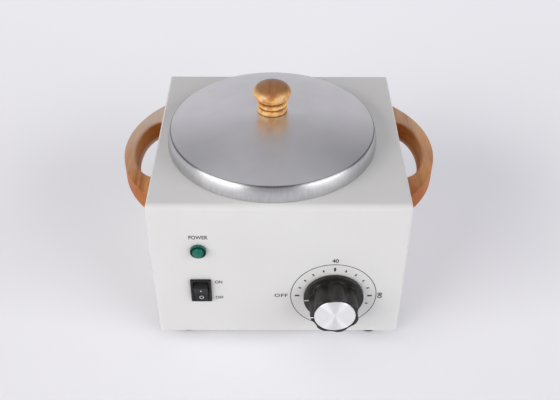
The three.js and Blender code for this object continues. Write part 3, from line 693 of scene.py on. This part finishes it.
def build_feet():
    foot = rounded([(2.3, 4), (4.2, 4, 0.3), (4.2, 0, 0.4), (7.75, 0, 0.3), (7.85, 1.6, 0.2), (7.5, 2.1, 0.2),
                    (7.9, 2.7, 0.2), (8.0, 7.7, 0.3), (2.3, 7.7)])
    for corner in ("front_left", "front_right", "back_left", "back_right"):
        node = f"foot_{corner}"
        lo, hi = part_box(node)
        ground = Vector(((lo.x + hi.x) / 2, (lo.y + hi.y) / 2, lo.z))
        made = lathe(f"rubber_{node}", foot, 64)
        install(made, "cabinet", LOOKS["rubber"], ground, replaces=[node])
        for kind, head_r, head_h, shank_r in (("foot", 3.6, 1.9, 2.0), ("base", 3.2, 1.8, 1.6)):
            screw = f"{kind}_screw_{corner}"
            lo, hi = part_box(screw)
            seat = Vector(((lo.x + hi.x) / 2, (lo.y + hi.y) / 2, lo.z + head_h * MM))
            build_screw(f"cross_{screw}", screw, "cabinet", head_r, head_h, shank_r,
                        (hi.z - seat.z) / MM, DOWN, seat)


build_feet()


# ---------------------------------------------------------------- wooden handles

ARC_R = 85
ARC_CENTRE = -58.5
GRIP_DEPTH = 18
GRIP_HALF = 36


def nearest(bm, x, y, z):
    point = Vector((x, y, z))
    return min(bm.verts, key=lambda v: (v.co - point).length_squared)


def handle_mesh(name, thickness, sign):
    """A flat bow: an arc outside, a half-ellipse finger hole inside. Its wall side is X = 0, and
    sign says on which side of it the bow lies."""
    tip = math.acos(-ARC_CENTRE / ARC_R)
    steps = 64
    outer = [(ARC_CENTRE + ARC_R * math.cos(a), ARC_R * math.sin(a))
             for a in (-tip + 2 * tip * k / steps for k in range(steps + 1))]
    inner = [(GRIP_DEPTH * math.cos(a), GRIP_HALF * math.sin(a))
             for a in (math.pi / 2 - math.pi * k / steps for k in range(steps + 1))]
    outer[0] = (0, outer[0][1])
    outer[-1] = (0, outer[-1][1])
    inner[0] = (0, GRIP_HALF)
    inner[-1] = (0, -GRIP_HALF)
    bm = bmesh.new()
    outline = outer + inner
    rings = [[bm.verts.new((x, y, z)) for x, y in outline] for z in (-thickness / 2, thickness / 2)]
    skin(bm, rings)
    bm.faces.new(rings[0])
    bm.faces.new(rings[1])
    last_outer = len(outer) - 1
    for first, last, width, segments in ((0, last_outer, 6.4, 8), (len(outer), len(outline) - 1, 2.2, 5)):
        rims = []
        for ring in rings:
            for i in range(first, last):
                edge = bm.edges.get((ring[i], ring[i + 1])) if ring[i].is_valid else None
                if edge:
                    rims.append(edge)
        bmesh.ops.bevel(bm, geom=rims, offset=width, segments=segments, profile=0.5, affect="EDGES",
                        offset_type="OFFSET", clamp_overlap=False)
        bm.verts.ensure_lookup_table()
        if first == 0:
            rings = [[nearest(bm, x, y, z) for x, y in outline] for z in (-thickness / 2, thickness / 2)]
    bmesh.ops.scale(bm, vec=(sign, 1, 1), verts=bm.verts)
    return object_from(bm, name, 30)


def build_handles():
    for side, sign in (("left", -1), ("right", 1)):
        node = f"handle_{side}"
        lo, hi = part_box(node)
        made = handle_mesh(f"bow_{node}", (hi.z - lo.z) / MM, sign)
        wall_x = hi.x if side == "left" else lo.x
        anchor = Vector((wall_x, (lo.y + hi.y) / 2, (lo.z + hi.z) / 2))
        install(made, "cabinet", LOOKS["handle_wood"], anchor, replaces=[node])


build_handles()


# ---------------------------------------------------------------- well and pot

def build_well_and_pot():
    lo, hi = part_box("heating_well")
    axis = Vector(((lo.x + hi.x) / 2, (lo.y + hi.y) / 2, 0))
    floor = lo.z / MM
    rim = hi.z / MM
    well_r, flange_r, wall = 61.5, 66, 1.2
    profile = rounded([
        (0, floor), (well_r, floor, 4), (well_r, rim - wall, 0.5), (flange_r, rim - wall, 0.5),
        (flange_r, rim, 0.5), (well_r - wall, rim, 1.4), (well_r - wall, floor + wall, 3),
        (0, floor + wall),
    ], closed=False)
    well = lathe("well", profile, 160)
    install(well, "cabinet", LOOKS["well_aluminium"], axis, replaces=["heating_well"])

    lo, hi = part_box("pot")
    floor = lo.z / MM
    rim = hi.z / MM
    pot_r, rim_r = 58.3, 64
    profile = rounded([
        (0, floor), (pot_r, floor, 7), (pot_r, rim - wall, 0.8), (rim_r - 0.2, rim - wall, 0.4),
        (rim_r, rim - 0.5, 0.4), (rim_r - 0.6, rim, 0.5), (pot_r - wall, rim, 1.6),
        (pot_r - wall, floor + wall, 6), (0, floor + wall),
    ], closed=False, steps=8)
    pot = lathe("wax_pot", profile, 160)
    install(pot, "pot", LOOKS["pot_aluminium"], axis, replaces=["pot"])


build_well_and_pot()


# ---------------------------------------------------------------- lid

LID_PLATE_R = 74.1
LID_H = 12.5
LID_DOME = 12.3
LID_R = 76.8
LID_BORE = 2.1
LID_EDGE_H = 0.3
SKIRT_BOW_R = 20
SKIRT_BOW = (27, 2)


def build_lid():
    lo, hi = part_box("lid")
    axis = Vector(((lo.x + hi.x) / 2, (lo.y + hi.y) / 2, PANEL_Z))
    wall = 1.2
    sphere = (LID_PLATE_R ** 2 + LID_DOME ** 2) / (2 * LID_DOME)

    def rise(r):
        return LID_H + LID_DOME - sphere + math.sqrt(sphere ** 2 - r ** 2)

    def dome(inset, outer_r, steps=26):
        radii = [LID_BORE + (outer_r - LID_BORE) * k / steps for k in range(steps + 1)]
        return [(r, rise(r) - inset) for r in radii]

    def bow(inset, steps=8):
        """Points down the skirt, which bows outwards."""
        upper, lower = (math.radians(a) for a in SKIRT_BOW)
        centre = (LID_R - SKIRT_BOW_R * math.cos(lower), LID_H - 0.5 - SKIRT_BOW_R * math.sin(upper))
        slopes = [upper + (lower - upper) * k / steps for k in range(steps + 1)]
        reach = SKIRT_BOW_R - inset
        return [(centre[0] + reach * math.cos(a), centre[1] + reach * math.sin(a)) for a in slopes]

    profile = rounded([
        *dome(0, LID_PLATE_R - 0.7), (LID_PLATE_R + 0.25, rise(LID_PLATE_R + 0.25), 0.9), *bow(0),
        (LID_R, LID_EDGE_H, 0.25), (LID_R - wall, LID_EDGE_H, 0.25), *reversed(bow(wall)),
        *reversed(dome(wall, LID_PLATE_R - 1.2)),
    ], closed=False, steps=6)
    lid = lathe("spun_lid", profile, 192)
    install(lid, "lid", LOOKS["lid_aluminium"], axis, replaces=["lid"])

    lo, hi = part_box("lid_knob")
    foot = Vector(((lo.x + hi.x) / 2, (lo.y + hi.y) / 2, lo.z))
    head_r, head_mid, knob_h = 13.65, 14.4, (hi.z - lo.z) / MM
    squash = (knob_h - head_mid)
    head = [(head_r * math.cos(math.radians(a)), head_mid + squash * math.sin(math.radians(a)))
            for a in range(-54, 90, 4)]
    base = rounded([
        (0, 1.5), (2, 1.5), (2, 0), (10.5, 0, 0.4), (11, 0.9, 0.9), (11, 3.0, 1.1), (9.3, 3.85, 0.25),
        (9.3, 4.2, 0.2), (10.7, 5.1, 0.9), (10.6, 6.7, 0.9), (8.2, 7.6, 0.25), (8.0, 7.9, 0.2), head[0],
    ], closed=False)
    knob = lathe("turned_knob", [*base[:-1], *head, (0, knob_h)], 96)
    install(knob, "lid", LOOKS["knob_wood"], foot, replaces=["lid_knob"])

    lo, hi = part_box("lid_knob_screw")
    head_h = 2.2
    seat = Vector(((lo.x + hi.x) / 2, (lo.y + hi.y) / 2, lo.z + head_h * MM))
    build_screw("cross_lid_knob_screw", "lid_knob_screw", "lid", 3.5, head_h, 1.7,
                (hi.z - seat.z) / MM, DOWN, seat)


build_lid()


# ---------------------------------------------------------------- thermostat knob

DIAL = Vector((middle_of("thermostat_shaft").x, FRONT_Y, middle_of("thermostat_shaft").z))
LOBES = 7
SCALLOP = 2.3
VALLEY_SHARPNESS = 2.0
POINTER = math.radians(180 + 5)
KNOB_PROUD = 20.5
INK = 0.05


def flute(angle):
    """How far the grip's outline lies inside its lobes. One lobe lies at the pointer."""
    wave = 0.5 - 0.5 * math.cos(LOBES * (angle - POINTER))
    return SCALLOP * wave ** VALLEY_SHARPNESS


def build_dial_knob():
    front = KNOB_PROUD
    skirt = rounded([(0, 14.8), (3.3, 14.8), (3.3, 0.6, 0.2), (7, 0.6), (7, 2.7), (19.8, 2.7), (19.8, 0.6),
                     (21.85, 0.6, 0.3), (21.85, 3.5, 0.2), (18.3, 3.5)], closed=False)
    grip = [(18.15, 3.55, 0.9), (17.9, 3.8, 1), (17.82, 4.3, 1), (17.76, 9, 1), (17.7, front - 1.0, 1),
            (17.6, front - 0.6, 1), (17.3, front - 0.22, 0.85), (16.9, front - 0.06, 0.6),
            (16.3, front - 0.06, 0.2),
            (15.8, front - 0.1), (15.2, front - 0.2), (15.2, front - 1.6), (0, front - 1.6)]
    knob = lathe("dial_knob_grip", [*skirt, *grip], 280, flute)
    install(knob, "dial_knob", LOOKS["black_gloss"], DIAL, OUT_FRONT,
            replaces=["thermostat_knob"])

    collar = lathe("dial_knob_collar", rounded([
        (15.25, front - 1.5), (15.75, front - 1.5), (15.75, front - 0.02, 0.2), (15.25, front - 0.02, 0.2),
    ]), 128)
    install(collar, "dial_knob", LOOKS["black_matte"], DIAL, OUT_FRONT)

    disc = lathe("dial_knob_disc", rounded([
        (0, -0.9), (14.8, -0.9, 0.15), (14.8, -0.1, 0.3), (14.2, 0, 0.2), (0, 0),
    ], closed=False), 128)
    face = Vector((DIAL.x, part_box("knob_cap")[0].y, DIAL.z))
    install(disc, "dial_knob", LOOKS["cap_aluminium"], face, OUT_FRONT,
            replaces=["knob_cap"])

    bm = bmesh.new()
    box(bm, (18.0, 21.35), (-0.36, 0.36), (3.45, 3.5 + INK))
    box(bm, (15.1, 17.62), (-0.42, 0.42), (front - 0.8, front))
    bmesh.ops.rotate(bm, verts=bm.verts, matrix=Matrix.Rotation(POINTER, 3, "Z"))
    pointer = object_from(bm, "pointer_line")
    install(pointer, "dial_knob", WHITE_INK, DIAL, OUT_FRONT)


build_dial_knob()


# ---------------------------------------------------------------- printing on the panel

def add_text(bm, text, size, centre, turn=0.0, spacing=1.0):
    """Flat lettering of a given width and height, added to a mesh in the making."""
    curve = bpy.data.curves.new("lettering", "FONT")
    curve.body = text
    curve.space_character = spacing
    curve.offset = 0.022
    curve.extrude = 1
    holder = bpy.data.objects.new("lettering", curve)
    bpy.context.scene.collection.objects.link(holder)
    mesh = evaluated_mesh(holder)
    discard(holder)
    xs = [v.co.x for v in mesh.vertices]
    ys = [v.co.y for v in mesh.vertices]
    middle = Vector(((min(xs) + max(xs)) / 2, (min(ys) + max(ys)) / 2, 0))
    scale = Matrix.Diagonal((size[0] / (max(xs) - min(xs)), size[1] / (max(ys) - min(ys)), INK / 2, 1))
    lift = Vector((centre[0], centre[1], INK / 2 - 0.01))
    mesh.transform(Matrix.Translation(lift) @ Matrix.Rotation(math.radians(turn), 4, "Z") @ scale
                   @ Matrix.Translation(-middle))
    bm.from_mesh(mesh)
    bpy.data.meshes.remove(mesh)


def build_dial_print():
    bm = bmesh.new()
    ring_r, line = 31.2, 0.55
    lathe("", [(ring_r - line / 2, -0.01), (ring_r + line / 2, -0.01), (ring_r + line / 2, INK),
               (ring_r - line / 2, INK)], 160, bm=bm)
    ticks = [(180 - 18 * i, i in (0, 5, 10)) for i in range(12)]
    for angle, bold in ticks:
        tick = bmesh.new()
        reach, half = ((24.8, 28.2), 0.75) if bold else ((24.9, 26.9), 0.58)
        box(tick, reach, (-half, half), (-0.01, INK))
        bmesh.ops.rotate(tick, verts=tick.verts, matrix=Matrix.Rotation(math.radians(angle), 3, "Z"))
        mesh = bpy.data.meshes.new("tick")
        tick.to_mesh(mesh)
        tick.free()
        bm.from_mesh(mesh)
        bpy.data.meshes.remove(mesh)
    add_text(bm, "OFF", (9.5, 3.5), (-38.2, 0.1), spacing=1.15)
    add_text(bm, "40", (4.6, 3.7), (0, 34.9))
    add_text(bm, "80", (5.8, 3.4), (33.9, 0.4), turn=-90)
    printed = object_from(bm, "dial_print")
    install(printed, "cabinet", DARK_INK, DIAL, OUT_FRONT)


build_dial_print()


# ---------------------------------------------------------------- rocker switch and pilot lamp

SWITCH = Vector((middle_of("switch_housing").x, FRONT_Y, middle_of("switch_housing").z))
PIVOT_DEPTH = 4
ROCK_ANGLE = 12


def build_switch():
    levels = [(10.6, 18, 0.4, -10), (10.6, 18, 0.4, 1.7), (10.9, 18.3, 0.4, 2.1), (11.5, 18.9, 0.5, 2.3),
              (14.1, 20.1, 0.5, 2.3), (14.7, 20.7, 0.6, 2.15), (14.95, 20.95, 0.65, 1.8), (15, 21, 0.7, 1.4),
              (15, 21, 0.7, 0.3), (12.8, 19, 0.5, 0.3), (12.8, 19, 0.5, -15)]
    housing = stack("switch_bezel", levels, steps=4)
    install(housing, "cabinet", LOOKS["black_matte"], SWITCH, OUT_FRONT,
            replaces=["switch_housing"])
    bm = bmesh.new()
    for s in (-1, 1):
        box(bm, (-2.4, 2.4), (s * 5 - 0.4, s * 5 + 0.4), (-22, -15))
    tabs = object_from(bm, "switch_tabs")
    install(tabs, "cabinet", LOOKS["brass"], SWITCH, OUT_FRONT)

    valley, half = 6.4, 7.6
    tilt = math.radians(ROCK_ANGLE)
    lift, height = valley + half * math.sin(tilt), half * math.cos(tilt)
    side = rounded([(0, valley, 14), (height, lift, 0.5), (8.2, 2, 0.4), (4.5, 0), (3.2, -3.2), (0, -4.5),
                    (-3.2, -3.2), (-4.5, 0), (-8.2, 2, 0.4), (-height, lift, 0.5)], steps=6)
    bm = bmesh.new()
    rings = [[bm.verts.new((x, y, z)) for y, z in side] for x in (-5, 5)]
    skin(bm, rings)
    bm.faces.new(rings[0])
    bm.faces.new(rings[1])
    rims = [e for e in bm.edges if abs(e.verts[0].co.x) > 4.9 and e.verts[0].co.x * e.verts[1].co.x > 0]
    bmesh.ops.bevel(bm, geom=rims, offset=0.25, segments=3, profile=0.5, affect="EDGES")
    paddle = object_from(bm, "switch_paddle")
    pivot = SWITCH + Vector((0, PIVOT_DEPTH * MM, 0))
    pose = Matrix.Rotation(tilt, 4, "X") @ OUT_FRONT
    install(paddle, "rocker", LOOKS["black_matte"], pivot, pose, replaces=["switch_rocker"])

    bm = bmesh.new()
    lathe("", [(1.22, 0), (1.55, 0), (1.55, INK), (1.22, INK)], 40, bm=bm)
    slope = Matrix.Rotation(-tilt, 4, "X")
    bmesh.ops.transform(bm, verts=bm.verts,
                        matrix=Matrix.Translation((0, -4.6, valley + 4.6 * math.tan(tilt))) @ slope)
    bar = bmesh.new()
    box(bar, (-0.3, 0.3), (-1.0, 1.0), (0, INK))
    bmesh.ops.transform(bar, verts=bar.verts,
                        matrix=Matrix.Translation((0, 2.9, valley + 2.9 * math.tan(tilt))) @ slope.inverted())
    mesh = bpy.data.meshes.new("mark")
    bar.to_mesh(mesh)
    bar.free()
    bm.from_mesh(mesh)
    bpy.data.meshes.remove(mesh)
    marks = object_from(bm, "switch_marks")
    install(marks, "rocker", WHITE_INK, pivot, pose)

    bm = bmesh.new()
    add_text(bm, "ON", (5.2, 3.0), (12.9, 7.5))
    add_text(bm, "OFF", (5.8, 2.9), (12.9, -8.3))
    printed = object_from(bm, "switch_print")
    install(printed, "cabinet", DARK_INK, SWITCH, OUT_FRONT)


build_switch()


def build_lamp():
    place = middle_of("pilot_lamp_lens")
    lamp = Vector((place.x, FRONT_Y, place.z))
    lens = lathe("jewel_lens", rounded([
        (0, 0.3), (5.7, 0.3, 0.1), (5.7, 2.2, 0.3), (5.35, 2.5, 0.12), (5.2, 2.2, 0.1), (5.2, 0.7),
        (4.1, 0.7),
        (4.1, 2.9, 0.4), (3.6, 3.9, 0.4), (2.3, 4.6, 0.6), (0, 5.0),
    ], closed=False), 72)
    install(lens, "cabinet", LOOKS["green_jewel"], lamp, OUT_FRONT,
            replaces=["pilot_lamp_lens"])
    ring = lathe("lamp_ring", rounded([(4.12, 0.75), (5.18, 0.75), (5.18, 1.3, 0.15), (4.12, 1.3, 0.15)]), 72)
    install(ring, "cabinet", LOOKS["black_matte"], lamp, OUT_FRONT)
    bm = bmesh.new()
    add_text(bm, "POWER", (13.2, 3.4), (0.5, 12.0), spacing=1.05)
    printed = object_from(bm, "lamp_print")
    install(printed, "cabinet", DARK_INK, lamp, OUT_FRONT)


build_lamp()


# ---------------------------------------------------------------- mains inlet at the back

def build_inlet():
    place = middle_of("inlet_socket")
    inlet = Vector((place.x, BACK_Y, place.z))
    levels = [(24, 16, 1.5, -13), (24, 16, 1.5, 2.3), (24.4, 16.4, 1.7, 2.65), (25.4, 17.4, 2.2, 2.8),
              (46.6, 21.1, 3.4, 2.8), (47.5, 22.0, 3.8, 2.6), (48, 22.5, 4, 2.1), (48, 22.5, 4, 0.3),
              (27.6, 19.8, 1, 0.3), (27.6, 19.8, 1, -16)]
    socket = stack("inlet_shell", levels)
    tools = []
    for s in (-1, 1):
        tools.append(cutter([(0, -3), (1.8, -3), (1.8, 1), (3.1, 1), (3.1, 4), (0, 4)],
                            Vector((s * 20 * MM, 0, 0))))
    carve(socket, *tools)
    install(socket, "cabinet", LOOKS["black_matte"], inlet, OUT_BACK,
            replaces=["inlet_socket"])
    for side in ("left", "right"):
        node = f"inlet_screw_{side}"
        lo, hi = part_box(node)
        head_h = 1.4
        seat = Vector(((lo.x + hi.x) / 2, hi.y - head_h * MM, (lo.z + hi.z) / 2))
        build_screw(f"cross_{node}", node, "cabinet", 2.7, head_h, 1.5, (seat.y - lo.y) / MM, OUT_BACK, seat)


build_inlet()


# ---------------------------------------------------------------- pieces carried over from the CAD

CARRIED = {
    "zinc_steel": ["handle_screw_left_front", "handle_screw_left_back", "handle_screw_right_front",
                   "handle_screw_right_back", "band_clamp_screw", "bulb_clip", "thermostat_body",
                   "thermostat_screw_left", "thermostat_screw_right", "thermostat_shaft", "lid_washer"],
    "mica_band": ["band_heater"],
    "copper_tube": ["thermostat_bulb", "capillary_tube"],
    "black_matte": ["thermal_cutout", "pilot_lamp_body", "pilot_lamp_nut"],
    "brass": ["inlet_pin_live", "inlet_pin_neutral", "inlet_pin_earth", "earth_stud"],
    "ceramic": ["terminal_block"],
    "wire_brown": ["live_wire", "switch_wire", "lamp_wire", "thermostat_wire", "cutout_wire",
                   "heater_wire_right"],
    "wire_blue": ["neutral_wire", "heater_wire_left"],
    "wire_earth": ["earth_wire"],
}


def dress_carried_nodes():
    """Gives the CAD nodes that stay their materials, smooth shading and softened edges."""
    for slot, names in CARRIED.items():
        for name in names:
            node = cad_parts[name]
            node.data.materials.clear()
            node.data.materials.append(LOOKS[slot])
            node.data.shade_smooth()
            node.data.set_sharp_from_angle(angle=math.radians(40))
            if "wire" in name or "tube" in name:
                continue
            soften = node.modifiers.new("soften", "BEVEL")
            soften.width = 0.25 * MM
            soften.segments = 2
            soften.limit_method = "ANGLE"
            soften.angle_limit = math.radians(40)


dress_carried_nodes()


# ---------------------------------------------------------------- stage and light

def build_floor():
    """A matt white table top that glows a little more towards the back, like a lit backdrop."""
    bm = bmesh.new()
    bmesh.ops.create_grid(bm, x_segments=8, y_segments=8, size=20000)
    floor = object_from(bm, "floor")
    look = Look("floor", Roughness=0.9, Emission_Color=(1.0, 1.0, 1.02))
    depth = look.node("SeparateXYZ", {0: look.coordinates}).outputs[1]
    glow = look.spread(depth, 0.0, 0.27, -0.35, 0.9)
    look.feed(look.shader.inputs["Emission Strength"], glow)
    look.colour(look.ramp(look.noise(3, 2), (0.3, (0.846, 0.843, 0.878)), (0.7, (0.866, 0.863, 0.898))))
    floor.data.materials.append(look.material)


SOFTBOX_UP = 24
SOFTBOX_AWAY = 3.5
SOFTBOX_SIZE = (2.9, 2.3)


def softbox(name, azimuth, power, colour):
    """A rectangular light that looks at the cabinet. Azimuth 0 is straight in front."""
    data = bpy.data.lights.new(name, "AREA")
    data.shape = "RECTANGLE"
    data.size, data.size_y = SOFTBOX_SIZE
    data.energy = power
    data.color = colour
    light = bpy.data.objects.new(name, data)
    bpy.context.scene.collection.objects.link(light)
    a, e = math.radians(azimuth), math.radians(SOFTBOX_UP)
    away = Vector((math.sin(a) * math.cos(e), -math.cos(a) * math.cos(e), math.sin(e)))
    light.location = CABINET_MID + away * SOFTBOX_AWAY
    light.rotation_euler = away.to_track_quat("Z", "Y").to_euler()
    light.visible_camera = False


def build_world():
    """A dim pale studio with soft bright patches, brightest low behind the object."""
    patches = [
        ((0, 0, 1), 0.75, 0.45),
        ((0, 1, 0.25), 0.62, 0.56),
        ((-0.7, 0.7, 0.3), 0.60, 0.16),
        ((0.7, 0.7, 0.3), 0.60, 0.08),
        ((-1, 0, 0.3), 0.60, 0.13),
        ((1, 0, 0.3), 0.60, 0.20),
        ((0, -1, 0.1), 0.60, 0.20),
        ((-0.5, 0.2, 0.85), 0.80, 0.14),
        ((0.5, 0.2, 0.85), 0.80, 0.09),
    ]
    world = bpy.data.worlds.new("studio")
    bpy.context.scene.world = world
    world.use_nodes = True
    tree = world.node_tree
    ray = tree.nodes.new("ShaderNodeTexCoord").outputs["Generated"]
    total = None
    for direction, reach, level in patches:
        along = tree.nodes.new("ShaderNodeVectorMath")
        along.operation = "DOT_PRODUCT"
        tree.links.new(ray, along.inputs[0])
        along.inputs[1].default_value = Vector(direction).normalized()
        patch = tree.nodes.new("ShaderNodeMapRange")
        patch.interpolation_type = "SMOOTHSTEP"
        patch.inputs["From Min"].default_value = reach
        patch.inputs["To Max"].default_value = level
        tree.links.new(along.outputs["Value"], patch.inputs["Value"])
        add = tree.nodes.new("ShaderNodeMath")
        add.operation = "ADD"
        add.inputs[1].default_value = 0.04
        if total:
            tree.links.new(total, add.inputs[1])
        tree.links.new(patch.outputs[0], add.inputs[0])
        total = add.outputs[0]
    background = tree.nodes["Background"]
    background.inputs["Color"].default_value = (1.01, 0.99, 1.04, 1)
    tree.links.new(total, background.inputs["Strength"])


build_floor()
build_world()
softbox("key_left", -54, 101, (1.0, 0.99, 0.97))
softbox("fill_right", 56, 79, (0.98, 0.99, 1.0))

scene_view = bpy.context.scene.view_settings
scene_view.view_transform = "Standard"
scene_view.look = "None"
